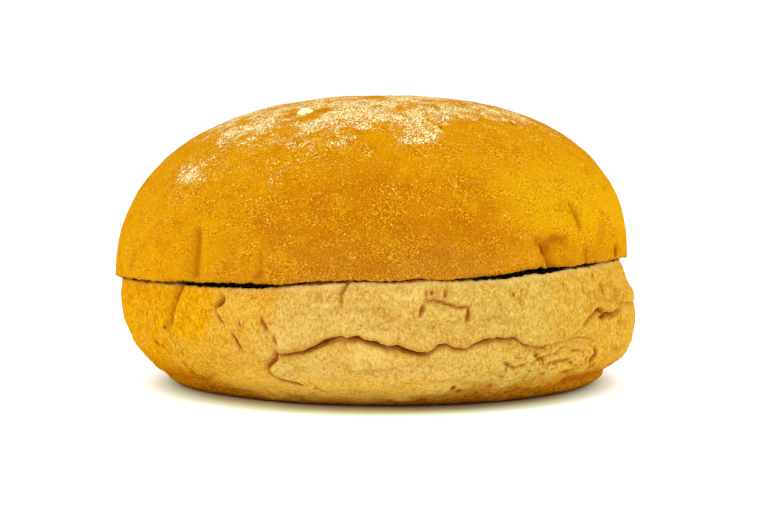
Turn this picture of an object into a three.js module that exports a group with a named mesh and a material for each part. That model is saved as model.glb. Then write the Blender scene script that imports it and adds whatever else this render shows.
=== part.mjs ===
// A soft round bread roll, sliced through level into a lower and an upper half that lie together.
// Millimetres, +Z up. The origin is on the table, under the middle of the roll. The pale, creased
// side, where the roll touched its neighbour in the tin, faces -Y, and +X is to its right.
import * as THREE from "three";
import { mergeVertices } from "three/addons/utils/BufferGeometryUtils.js";

// Driving dimensions.
const HALF_WIDTH = 54.1; // left to right
const HALF_DEPTH = 53; // front to back
const HEIGHT = 60;
const CUT_HEIGHT = 23.4; // of the knife cut, at the middle
const CUT_RISE_RIGHT = 0.034; // mm for each mm to the right
const CUT_RISE_FRONT = 0.0245; // mm for each mm to the front
const UPPER_SLIDE = -1.4; // the upper half has slid to the left
const REST_GAP = 0.3; // between the halves where they touch

// The lower half's side. lean is -1 at the left end of the roll and 1 at the right end.
const FOOT_RADIUS = 39.5; // front and back
const FOOT_SPREAD = 4.5; // more at both ends
const FOOT_LEAN = 1.5; // and more at the right than at the left
const WIDEST_HEIGHT = 15; // the side bulges most here
const WIDEST_LEAN = -2.5; // lower at the right end, where the bulge is boxier
const CORNER_POWER = 2.25; // how full the corner between foot and bulge is
const CORNER_LEAN = 0.25;
const WAIST = 1; // pulled in between the bulge and the cut
const WAIST_LEAN = 0.4;
const WAIST_REACH = 10; // the height over which it pulls in
const UNDER_FLAT = 0.8; // share of the foot that lies flat
const UNDER_RISE = 0.35; // the underside curls up by this at the foot's edge
const RIM_ROUND = 0.7; // of the lower half's cut edge

// The upper half's dome, a superellipse over the cut.
const DOME_INSET = 0.25;
const DOME_POWER = 2.33;
const DOME_LEAN = 0.1; // fuller at the right end
const SUMMIT_SHIFT = 1.1; // the summit lies this far right of the dome's middle

// The mouths where the cut gapes: [azimuth, half its spread in degrees, opening in mm].
const MOUTHS = [
  [-39, 19, 0.7],
  [34, 20, 1],
  [128, 24, 0.6],
  [-142, 22, 0.5],
];
const LOWER_SHARE = 0.65; // of an opening that the lower half gives
const CUT_BOW = 1.2; // the knife rose by this inside the crust

// Slow swells over the crust: [height, lobes round the roll, turn in radians per mm up, phase].
const SWELLS = [
  [0.3, 3, 0.05, 0.4],
  [0.22, 5, -0.08, 2.1],
  [0.16, 9, 0.13, 4],
  [0.1, 14, -0.19, 1.2],
];

// The line of the long fold round the lower half: [azimuth, height, strength], all the way round
// from the left end over the front and the right corner, where it steps up, to the back.
const FOLD_LINE = [
  [-66, 12.5, 0], [-22, 11.3, 0], [-19, 11.6, 0.9], [-14.6, 12.2, 1], [-10.9, 13.7, 1],
  [-6.8, 14.9, 0.8], [-3.4, 14.9, 1], [0.5, 13.8, 1], [4.1, 13.2, 1], [8.6, 12, 1],
  [10.4, 12.1, 0.9], [13, 13.6, 0.8], [16.5, 12.8, 1], [22.5, 14.1, 0.9], [28.8, 14.2, 0.7],
  [31, 12.7, 0.5], [35.2, 11.7, 0.6], [42.4, 12.8, 0.5], [49.5, 12.5, 0.3], [53, 14.5, 0],
  [56.5, 16.9, 0.7], [60, 16.6, 0.9], [68, 18.1, 0.7], [80, 17, 0.4], [90, 17.4, 0.3],
  [98, 16.5, 0], [134, 12.8, 0], [138, 13.1, 0.7], [146, 14.4, 0.9], [154, 12.4, 1],
  [162, 11.8, 0.9], [171, 13.6, 1], [179, 14.8, 0.8], [188, 13.2, 1], [197, 11.9, 0.8],
  [206, 12.9, 0.6], [211, 13, 0], [294, 12.5, 0],
];
// The rows across the fold: [height over the line where there is no fold, and then the height
// and the way out at full strength]. The upper lip hangs over a cleft.
const FOLD_ROWS = [
  [-2.5, -2.5, 0.1],
  [-1.4, -1.3, 0.15],
  [-0.6, -0.5, -0.2],
  [0, 0.3, -1.6],
  [0.6, 0.15, 0.5],
  [1.3, 1, 0.9],
  [2.6, 2.6, 0.35],
];

// Creases and ridges in the crust. A path is [azimuth in degrees, height in mm] from the front,
// positive to the right. The crust stands up as a lip to the left of the way it runs.
const LOWER_MARKS = [
  // The start of the upper fold that runs on round the right corner.
  { path: [[46.2, 15.2], [52.9, 17.6], [57, 16.9]], half: 1.3, deep: 1, lip: 0.5 },
  // The blunt left end of the flap under the long fold.
  {
    path: [[-16.4, 4.6], [-20.3, 5.5], [-23, 7], [-22.9, 8.8], [-20.7, 10.6]],
    half: 1.4, deep: 0.8, lip: -0.3,
  },
  // The cracks that step down the left of the pale side.
  { path: [[-32.2, 16.1], [-34.6, 18.8], [-32.5, 21.4]], half: 1.2, deep: 0.7, lip: 0 },
  { path: [[-28.9, 11.9], [-30.7, 14.8]], half: 1.2, deep: 0.6, lip: 0 },
  // The nick under the cut and the torn flap to its right.
  { path: [[-6.6, 20.5], [-6.8, 22], [-5.9, 24.6]], half: 1.2, deep: 1.3, lip: 0.3 },
  { path: [[18.4, 17.8], [18.7, 19.6], [14, 20.6], [9.3, 21.1]], half: 1.2, deep: 0.8, lip: -0.4 },
  // Wrinkles low on the front and the right corner.
  { path: [[-5, 7.6], [-1.8, 8.4], [3, 8.4], [6, 9.4]], half: 1.1, deep: 0.4, lip: 0 },
  { path: [[38.2, 7.7], [46.2, 8.8]], half: 1.1, deep: 0.6, lip: 0.2 },
  { path: [[53.8, 6.4], [52.8, 8.6], [53, 10.6]], half: 1.3, deep: 0.9, lip: 0.3 },
  // The soft fold down the golden left end.
  { path: [[-45.3, 23], [-47.1, 19], [-49.6, 15.4]], half: 1.8, deep: 0.9, lip: 0.2 },
  // Short folds on the back, and one down the left end.
  { path: [[158, 18.4], [166, 19.6], [172, 18.9]], half: 1.6, deep: 0.7, lip: 0.2 },
  { path: [[190, 18], [196, 20.4]], half: 1.6, deep: 0.7, lip: 0.2 },
  { path: [[-96, 22.5], [-99, 16]], half: 2, deep: 0.7, lip: 0.2 },
  // The line over the foot, where the side meets the baked bottom.
  {
    path: [[-122, 2.6], [-98, 2.3], [-82, 2.2], [-58, 3.6], [-48, 3.4], [-36, 2.8]],
    half: 1.2, deep: 0.6, lip: 0.2,
  },
  { path: [[48, 3], [66, 2.9], [90, 2.6], [112, 2.8]], half: 1.6, deep: 1.9, lip: 0 },
];

const UPPER_MARKS = [
  // The tuck at the right, whose left side laps over a hollow, and the grooves beyond it.
  { path: [[38.9, 25], [38.4, 26.8], [37, 30.2], [34.2, 32.4]], half: 1.8, deep: 1.3, lip: 0.5 },
  { path: [[48.6, 32.6], [49.6, 34.3], [48.8, 36.4], [47.9, 38.6]], half: 1.6, deep: 0.7, lip: 0 },
  { path: [[51.9, 25], [52.1, 30]], half: 1.4, deep: 0.7, lip: 0 },
  { path: [[67.3, 26], [68.1, 31]], half: 1.5, deep: 0.8, lip: 0 },
  // The soft folds of the left.
  { path: [[-38.8, 24], [-38.2, 29], [-38, 34.6]], half: 2, deep: 0.8, lip: 0 },
  { path: [[-22, 24], [-22, 30.8]], half: 1.5, deep: 0.4, lip: -0.3 },
  { path: [[-46, 23], [-46.5, 29.5]], half: 1.6, deep: 0.4, lip: 0 },
  // The same round the sides and the back.
  { path: [[-84, 22], [-86, 30]], half: 2.2, deep: 0.6, lip: 0.2 },
  { path: [[-128, 22], [-125, 32]], half: 2.4, deep: 0.9, lip: 0.3 },
  { path: [[96, 26], [99, 34]], half: 2.2, deep: 0.8, lip: 0.3 },
  { path: [[142, 23], [145, 30], [151, 34]], half: 2.4, deep: 1.1, lip: 0.4 },
  { path: [[176, 22], [174, 30]], half: 2.2, deep: 0.6, lip: 0 },
];

// Wide, shallow hollows: [azimuth, height, reach in mm, depth].
const LOWER_HOLLOWS = [
  [-57, 9, 5, 0.6],
  [12, 22.6, 2.6, 0.8],
  [60, 13, 5, 0.4],
  [148, 8, 7, 0.6],
];
const UPPER_HOLLOWS = [
  [42, 28, 6, 1.6],
  [-62, 40, 12, 0.5],
  [110, 38, 10, 0.6],
];

const MARK_FADE = 2.5; // a mark fades out over this length at each end
const LIP_SIDE = 0.7; // a groove is this much narrower on its lip's side
const LIP_CREST = 1.2; // the lip's crest is this many half widths from the groove

// Meshes. Columns lie closer together over the creased front.
const FRONT_LEFT = -64;
const FRONT_RIGHT = 84;
const LOWER_COLUMNS = { front: 92, rest: 52 };
const UPPER_COLUMNS = { front: 72, rest: 40 };
const ROWS_UNDER_FOLD = 6;
const ROWS_OVER_FOLD = 7;
const DOME_ROWS = 20;

const radians = THREE.MathUtils.degToRad;
const smooth = THREE.MathUtils.smoothstep;
const wrap = (angle) => Math.atan2(Math.sin(angle), Math.cos(angle));
const bell = (x) => Math.exp(-x * x);
const steps = (count) => Array.from({ length: count + 1 }, (_, i) => i / count);

function planRadius(azimuth) {
  return 1 / Math.hypot(Math.sin(azimuth) / HALF_WIDTH, Math.cos(azimuth) / HALF_DEPTH);
}

function cutHeight(radius, azimuth) {
  const right = radius * Math.sin(azimuth);
  const front = radius * Math.cos(azimuth);
  return CUT_HEIGHT + CUT_RISE_RIGHT * right + CUT_RISE_FRONT * front;
}

// How far the cut gapes at this azimuth, beyond the gap where the halves touch.
function mouth(azimuth) {
  return MOUTHS.reduce((sum, [middle, spread, opening]) => {
    const away = wrap(azimuth - radians(middle)) / radians(spread);
    return sum + opening * bell(away * away);
  }, 0);
}

// The height of each half's cut face, at a share of the way out from the middle.
function lowerCut(radius, azimuth, share) {
  const bow = CUT_BOW * (1 - share ** 4);
  const gape = LOWER_SHARE * mouth(azimuth) * share ** 2;
  return cutHeight(radius, azimuth) + bow - REST_GAP / 2 - gape;
}

function upperCut(radius, azimuth, share) {
  const bow = CUT_BOW * (1 - share ** 4);
  const gape = (1 - LOWER_SHARE) * mouth(azimuth) * share ** 2;
  return cutHeight(radius, azimuth) + bow + REST_GAP / 2 + gape;
}

// Where a point of the crust lies against a mark's path: how far across it, positive on the
// lip's side, and how far from its nearer end, all in mm.
function againstPath(path, azimuth, height) {
  const start = radians(path[0][0]);
  const x = wrap(azimuth - start) * HALF_DEPTH;
  const points = path.map(([degrees, z]) => [(radians(degrees) - start) * HALF_DEPTH, z]);
  const nearest = { across: Infinity, along: 0 };
  let run = 0;
  for (let i = 1; i < points.length; i++) {
    const [x0, z0] = points[i - 1];
    const [dx, dz] = [points[i][0] - x0, points[i][1] - z0];
    const length = Math.hypot(dx, dz);
    const share = THREE.MathUtils.clamp(((x - x0) * dx + (height - z0) * dz) / length ** 2, 0, 1);
    const away = Math.hypot(x - x0 - share * dx, height - z0 - share * dz);
    if (away < Math.abs(nearest.across)) {
      const left = dx * (height - z0) - dz * (x - x0) >= 0;
      nearest.across = left ? away : -away;
      nearest.along = run + share * length;
    }
    run += length;
  }
  return { across: nearest.across, fromEnd: Math.min(nearest.along, run - nearest.along) };
}

function markRelief({ path, half, deep, lip }, azimuth, height) {
  const { across, fromEnd } = againstPath(path, azimuth, height);
  const fade = 0.25 + 0.75 * smooth(fromEnd, 0, MARK_FADE);
  const width = across > 0 ? half * (lip ? LIP_SIDE : 1) : half;
  const crest = across > 0 ? lip * bell((across - LIP_CREST * half) / (LIP_CREST * half)) : 0;
  return fade * (crest - deep * bell(across / width));
}

function hollowRelief([degrees, middle, reach, depth], azimuth, height) {
  const x = wrap(azimuth - radians(degrees)) * HALF_DEPTH;
  return -depth * bell(Math.hypot(x, height - middle) / reach);
}

// How far the crust stands out from the plain form, in mm.
function relief(marks, hollows, azimuth, height) {
  const swell = SWELLS.reduce(
    (sum, [tall, lobes, turn, phase]) =>
      sum + tall * Math.sin(lobes * azimuth + turn * height + phase),
    0,
  );
  const dents = hollows.reduce((sum, hollow) => sum + hollowRelief(hollow, azimuth, height), 0);
  return marks.reduce((sum, mark) => sum + markRelief(mark, azimuth, height), swell + dents);
}

// The plain radius of the lower half's side at a height.
function sideRadius(azimuth, height) {
  const lean = Math.sin(azimuth);
  const full = planRadius(azimuth) + 0.2 * lean;
  const widest = WIDEST_HEIGHT + WIDEST_LEAN * lean;
  if (height > widest) {
    return full - (WAIST + WAIST_LEAN * lean) * ((height - widest) / WAIST_REACH) ** 2;
  }
  const foot = FOOT_RADIUS + FOOT_SPREAD * lean ** 2 + FOOT_LEAN * lean;
  const power = CORNER_POWER + CORNER_LEAN * lean;
  return full - (full - foot) * (1 - height / widest) ** power;
}

// The long fold's height and strength at an azimuth.
function foldAt(azimuth) {
  const first = FOLD_LINE[0][0];
  const degrees = first + THREE.MathUtils.euclideanModulo((azimuth * 180) / Math.PI - first, 360);
  const next = FOLD_LINE.findIndex(([mark], i) => i > 0 && mark >= degrees);
  const [from, to] = [FOLD_LINE[next - 1], FOLD_LINE[next]];
  const share = (degrees - from[0]) / (to[0] - from[0]);
  return {
    height: from[1] + share * (to[1] - from[1]),
    strength: from[2] + share * (to[2] - from[2]),
  };
}

// A point of the lower half's side, at a height and pushed out beyond the plain form.
function sidePoint(azimuth, height, out = 0) {
  const grip = smooth(height, UNDER_RISE, 2.2); // the relief dies out at the foot
  const push = grip * relief(LOWER_MARKS, LOWER_HOLLOWS, azimuth, height) + out;
  return [sideRadius(azimuth, height) + push, height];
}

const footEdge = (azimuth) => sidePoint(azimuth, UNDER_RISE);
const rimEdge = (azimuth) =>
  sidePoint(azimuth, lowerCut(HALF_DEPTH, azimuth, 1) - RIM_ROUND);

function underFold(azimuth, share) {
  const top = foldAt(azimuth).height + FOLD_ROWS[0][0];
  return sidePoint(azimuth, UNDER_RISE + share * (top - UNDER_RISE));
}

function acrossFold(azimuth, [plainHeight, foldHeight, foldOut]) {
  const { height, strength } = foldAt(azimuth);
  const [radius] = sidePoint(azimuth, height + plainHeight, strength * foldOut);
  return [radius, height + plainHeight + strength * (foldHeight - plainHeight)];
}

function overFold(azimuth, share) {
  const bottom = foldAt(azimuth).height + FOLD_ROWS.at(-1)[0];
  return sidePoint(azimuth, bottom + share * (rimEdge(azimuth)[1] - bottom));
}

function lowerUnder(azimuth, share) {
  const curl = Math.max(0, (share - UNDER_FLAT) / (1 - UNDER_FLAT));
  return [share * footEdge(azimuth)[0], UNDER_RISE * curl ** 2];
}

function lowerFace(azimuth, share) {
  const radius = share * (rimEdge(azimuth)[0] - RIM_ROUND);
  return [radius, lowerCut(radius, azimuth, share)];
}

function upperDome(azimuth, share) {
  const full = planRadius(azimuth) - DOME_INSET;
  const power = 2 / (DOME_POWER + DOME_LEAN * Math.sin(azimuth));
  const turn = (share * Math.PI) / 2;
  const rim = upperCut(full, azimuth, 1);
  const height = rim + (HEIGHT - rim) * Math.sin(turn) ** power;
  const reach = Math.max(0, Math.cos(turn)) ** power;
  const outward = full * reach + reach * relief(UPPER_MARKS, UPPER_HOLLOWS, azimuth, height);
  return share < 1 ? [outward, height] : [0, HEIGHT];
}

function upperFace(azimuth, share) {
  const radius = share * upperDome(azimuth, 0)[0];
  return [radius, upperCut(radius, azimuth, share)];
}

// The azimuth of each column, closer together between FRONT_LEFT and FRONT_RIGHT.
function columnAzimuths({ front, rest }) {
  const frontSpan = radians(FRONT_RIGHT - FRONT_LEFT);
  const left = radians(FRONT_LEFT);
  const right = radians(FRONT_RIGHT);
  return [
    ...steps(front).slice(1).map((share) => left + share * frontSpan),
    ...steps(rest).slice(1).map((share) => right + share * (2 * Math.PI - frontSpan)),
  ];
}

// A closed skin: each row is a function from an azimuth to [radius, height], and the first and
// the last row are points on the axis. shift moves each height to the right.
function skin(rows, azimuths, shift = () => 0) {
  const profile = rows.map((_, i) => new THREE.Vector2(i && i < rows.length - 1 ? 1 : 0, i));
  const geometry = new THREE.LatheGeometry(profile, azimuths.length);
  const position = geometry.attributes.position;
  for (let i = 0; i < position.count; i++) {
    const column = Math.floor(i / rows.length) % azimuths.length;
    const azimuth = azimuths[column];
    const [radius, height] = rows[i % rows.length](azimuth);
    const right = radius * Math.sin(azimuth) + shift(height);
    position.setXYZ(i, right, -radius * Math.cos(azimuth), height);
  }
  geometry.deleteAttribute("normal");
  geometry.deleteAttribute("uv");
  const merged = mergeVertices(geometry, 1e-4);
  merged.computeVertexNormals();
  return merged;
}

function lowerHalf() {
  const rows = [
    ...[0, UNDER_FLAT, 0.92].map((share) => (azimuth) => lowerUnder(azimuth, share)),
    ...steps(ROWS_UNDER_FOLD).slice(0, -1).map((share) => (azimuth) => underFold(azimuth, share)),
    ...FOLD_ROWS.map((row) => (azimuth) => acrossFold(azimuth, row)),
    ...steps(ROWS_OVER_FOLD).slice(1).map((share) => (azimuth) => overFold(azimuth, share)),
    ...[1, 0.94, 0.8, 0].map((share) => (azimuth) => lowerFace(azimuth, share)),
  ];
  const crumbCrust = new THREE.MeshStandardMaterial({ color: 0xdcab58, roughness: 0.85 });
  const mesh = new THREE.Mesh(skin(rows, columnAzimuths(LOWER_COLUMNS)), crumbCrust);
  mesh.name = "lower_half";
  return mesh;
}

function summitShift(height) {
  return SUMMIT_SHIFT * Math.max(0, (height - CUT_HEIGHT) / (HEIGHT - CUT_HEIGHT)) ** 4;
}

function upperHalf() {
  const rows = [
    ...[0, 0.6, 0.85].map((share) => (azimuth) => upperFace(azimuth, share)),
    ...steps(DOME_ROWS).map((share) => (azimuth) => upperDome(azimuth, share)),
  ];
  const goldenCrust = new THREE.MeshStandardMaterial({ color: 0xdd9420, roughness: 0.7 });
  const dome = skin(rows, columnAzimuths(UPPER_COLUMNS), summitShift);
  const mesh = new THREE.Mesh(dome, goldenCrust);
  mesh.name = "upper_half";
  mesh.position.x = UPPER_SLIDE;
  return mesh;
}

const roll = new THREE.Group();
roll.add(lowerHalf(), upperHalf());
const middle = new THREE.Box3().setFromObject(roll).getCenter(new THREE.Vector3());
roll.position.set(-middle.x, -middle.y, 0);

export default roll;
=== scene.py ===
# A soft round bread roll, sliced level and put back together, on a white table in soft light.
# Forms are worked out in mm round the roll's own axis. Azimuths start at the pale creased front,
# at -Y, and grow to the right: in degrees in the tables, and in radians in the functions. Every
# mesh is made in metres in the frame.
import itertools
import math

import bpy
import numpy as np
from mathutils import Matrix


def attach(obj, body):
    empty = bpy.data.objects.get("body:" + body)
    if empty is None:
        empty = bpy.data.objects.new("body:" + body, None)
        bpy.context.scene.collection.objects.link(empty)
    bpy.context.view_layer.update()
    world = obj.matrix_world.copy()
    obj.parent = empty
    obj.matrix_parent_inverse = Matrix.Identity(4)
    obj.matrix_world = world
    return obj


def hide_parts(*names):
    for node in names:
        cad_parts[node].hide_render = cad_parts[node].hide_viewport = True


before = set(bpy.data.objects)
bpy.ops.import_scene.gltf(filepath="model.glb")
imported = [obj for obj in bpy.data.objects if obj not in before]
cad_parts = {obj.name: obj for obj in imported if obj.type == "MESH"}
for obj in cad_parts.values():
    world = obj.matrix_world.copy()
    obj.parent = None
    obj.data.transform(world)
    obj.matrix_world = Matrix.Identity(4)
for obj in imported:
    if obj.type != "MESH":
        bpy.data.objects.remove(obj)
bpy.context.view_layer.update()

MM = 0.001

# Driving dimensions, the same as the solids'.
HALF_WIDTH = 54.1
HALF_DEPTH = 53.0
HEIGHT = 60.0
CUT_HEIGHT = 23.4
CUT_RISE_RIGHT = 0.034
CUT_RISE_FRONT = 0.0245
CUT_BOW = 1.2
UPPER_SLIDE = -1.4
REST_GAP = 0.1  # narrower than between the solids, so that the edges seem to touch
LOWER_SHARE = 0.65
MOUTH_HOLLOW = 1.8
FOOT_RADIUS = 39.5
FOOT_SPREAD = 4.5
FOOT_LEAN = 1.5
FOOT_DENTS = [(-47, 23, 1.4), (55, 22, 0.8)]  # azimuth, reach, depth
WIDEST_HEIGHT = 15.0
WIDEST_LEAN = -2.5
CORNER_POWER = 2.25
CORNER_LEAN = 0.25
WAIST = 1.0
WAIST_LEAN = 0.4
WAIST_REACH = 10.0
UNDER_FLAT = 0.8
UNDER_RISE = 0.35
RIM_ROUND = 0.7
CRUST_DEPTHS = (-1.8, -0.8)  # the crust ends between these, from the plain plan
SIDE_SHIFT = 0.2  # the lower half's side sits this far to the right
GRIP_HEIGHT = 2.2  # the side's relief is whole from this height
DOME_INSET = 0.25
DOME_POWER = 2.33
DOME_LEAN = 0.1
SUMMIT_SHIFT = 1.1

# Where the crust draws in under the cut: azimuth, reach, from height, to height, depth.
NECK = (82, 26, 17, 23, 0.8)

# The mouths where the cut gapes: azimuth, half its spread, opening.
MOUTHS = [
    (-32, 13.5, 0.5), (-50, 14, 0.12), (30.5, 12.5, 0.5), (50, 18, 0.3), (128, 24, 0.6),
    (-142, 22, 0.5),
]

# How far the knife wandered up at the crust: azimuth, height. It grows between two radii.
WANDER_RADII = (30, 50)
WANDER = [
    (-150, 0.3), (-110, 0.6), (-72, 0.85), (-60, 0.75), (-50, 0.55), (-42, 0.5), (-34, 0.3),
    (-26, 0.05), (-20, 0), (-14, 0.3), (-9, 0.45), (-1, 0.5), (3, 0.2), (6.5, 0.1), (10.5, 0.5),
    (14.5, 0), (20, 0), (27, 0.1), (30, 0.3), (34, 0.7), (40, 0.6), (50, 0.75), (60, 0.85),
    (70, 1.1), (90, 0.9), (120, 0.4), (160, 0),
]

# Slow swells over the crust: height, lobes round the roll, turn in radians per mm up, phase.
SWELLS = [(0.3, 3, 0.05, 0.4), (0.22, 5, -0.08, 2.1), (0.16, 9, 0.13, 4), (0.1, 14, -0.19, 1.2)]

# The line of the long fold: azimuth, height, strength.
FOLD_LINE = [
    (-66, 12.5, 0), (-22, 11.3, 0), (-19.4, 11.5, 0.9), (-16.9, 11.9, 1), (-14.6, 12.2, 1),
    (-12.6, 12.9, 1), (-10.9, 13.7, 1), (-8.9, 14.4, 0.9), (-6.8, 14.9, 0.7), (-5.8, 14.5, 0.7),
    (-3.4, 14.9, 1), (-1.8, 14.3, 1), (0.5, 13.8, 1), (2.3, 13.1, 0.9), (4.1, 13.3, 1),
    (6.6, 12.4, 1), (8.6, 12.1, 1), (10.3, 12.1, 0.9), (12.1, 13.3, 0.7), (13.9, 13.6, 0.8),
    (15.6, 12.9, 1), (17.7, 12.9, 0.9), (20.3, 13.7, 0.9), (22.5, 14.1, 0.9), (24.7, 14.2, 0.8),
    (26.4, 14, 0.7), (28.8, 14.2, 0.7), (31, 12.7, 0.6), (34.1, 11.8, 0.5),
    (36.2, 11.7, 0.5), (38.9, 12.3, 0.5), (42.4, 12.8, 0.45), (46.8, 12.9, 0.4),
    (50.4, 12.4, 0.3), (54, 14.5, 0), (57.5, 16.9, 0.6), (60.5, 16.5, 0.8), (64, 16.8, 0.7),
    (68, 18.1, 0.5), (80, 17, 0.3), (90, 17.4, 0.25), (98, 16.5, 0), (134, 12.8, 0),
    (138, 13.1, 0.7), (146, 14.4, 0.9), (154, 12.4, 1), (162, 11.8, 0.9), (171, 13.6, 1),
    (179, 14.8, 0.8),
    (188, 13.2, 1), (197, 11.9, 0.8), (206, 12.9, 0.6), (211, 13, 0), (294, 12.5, 0),
]
# Across the fold: height over its line where there is no fold, then the height and the way out
# at full strength. The upper lip hangs over a cleft.
FOLD_PROFILE = [
    (-2.5, -2.5, 0.1), (-1.4, -1.35, 0.25), (-0.8, -0.75, 0.05), (-0.4, -0.4, -0.45),
    (0, 0.15, -1), (0.3, 0, -0.2), (0.55, 0.05, 0.3), (0.9, 0.5, 0.65),
    (1.4, 1.2, 0.75), (2.6, 2.6, 0.3),
]
# How dark the crust is painted along the fold, as browned crust and painted shade in the cleft,
# under the lip and round it: height over its line, reach, strength.
FOLD_STAIN_AND_SHADE = [(0, 0.48, 0.95), (-0.6, 0.8, 0.58), (0.7, 0.6, 0.4), (0.1, 1.9, 0.24)]


class Mark:
    """A crease: its half width, depth, lip and stain, then the azimuths and heights of its path. The
    stain is browned crust and painted shade, and on the low side the painted shade reaches wider.

    The crust stands up as a lip on the left of the way it runs. The half width is one number, or
    one at the start and one at the end.
    """

    def __init__(self, half, deep, lip, stain, *path, trough=0.3, shade_spill=2):
        self.half = half if isinstance(half, tuple) else (half, half)
        self.deep = deep
        self.lip = lip
        self.stain = stain
        self.path = path
        self.trough = trough
        self.shade_spill = shade_spill  # how many times as wide the painted shade is on the low side


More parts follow.
